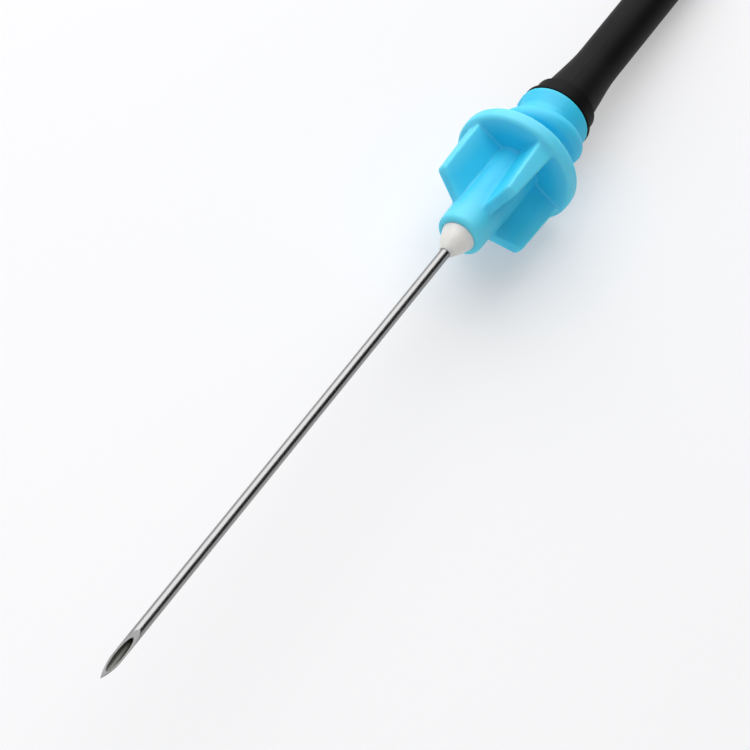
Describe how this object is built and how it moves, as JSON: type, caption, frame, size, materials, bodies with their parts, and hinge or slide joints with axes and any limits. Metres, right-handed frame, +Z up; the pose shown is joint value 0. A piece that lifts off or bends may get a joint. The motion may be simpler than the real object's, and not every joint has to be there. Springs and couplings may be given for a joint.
{
  "type": "blood collection needle",
  "caption": "Double-ended steel needle with a lancet point, a finned and threaded plastic hub, an adhesive bead at its nose and a closed rubber sleeve over the rear point.",
  "frame": {"origin": "on the table under the middle of the lying needle, at the bottom centre of its box", "axes": "+X along the needle towards its free point, as seen from above; +Z up from the table. The needle's own axis rises by 6.3 degrees towards the point, because it rests on the flange's rim and the sleeve's closed end"},
  "size_m": [0.0723, 0.0082, 0.0092],
  "materials": {
    "cannula_steel": "drawn and polished stainless steel with a fine lengthwise grain",
    "hub_plastic": "slightly translucent sky-blue moulded plastic with a satin skin",
    "adhesive": "off-white cured adhesive with a soft gloss",
    "sleeve_rubber": "satin black rubber"
  },
  "bodies": {
    "root": {"cannula": "cannula_steel", "hub": "hub_plastic", "nose_adhesive": "adhesive", "rubber_sleeve": "sleeve_rubber"}
  },
  "joints": []
}
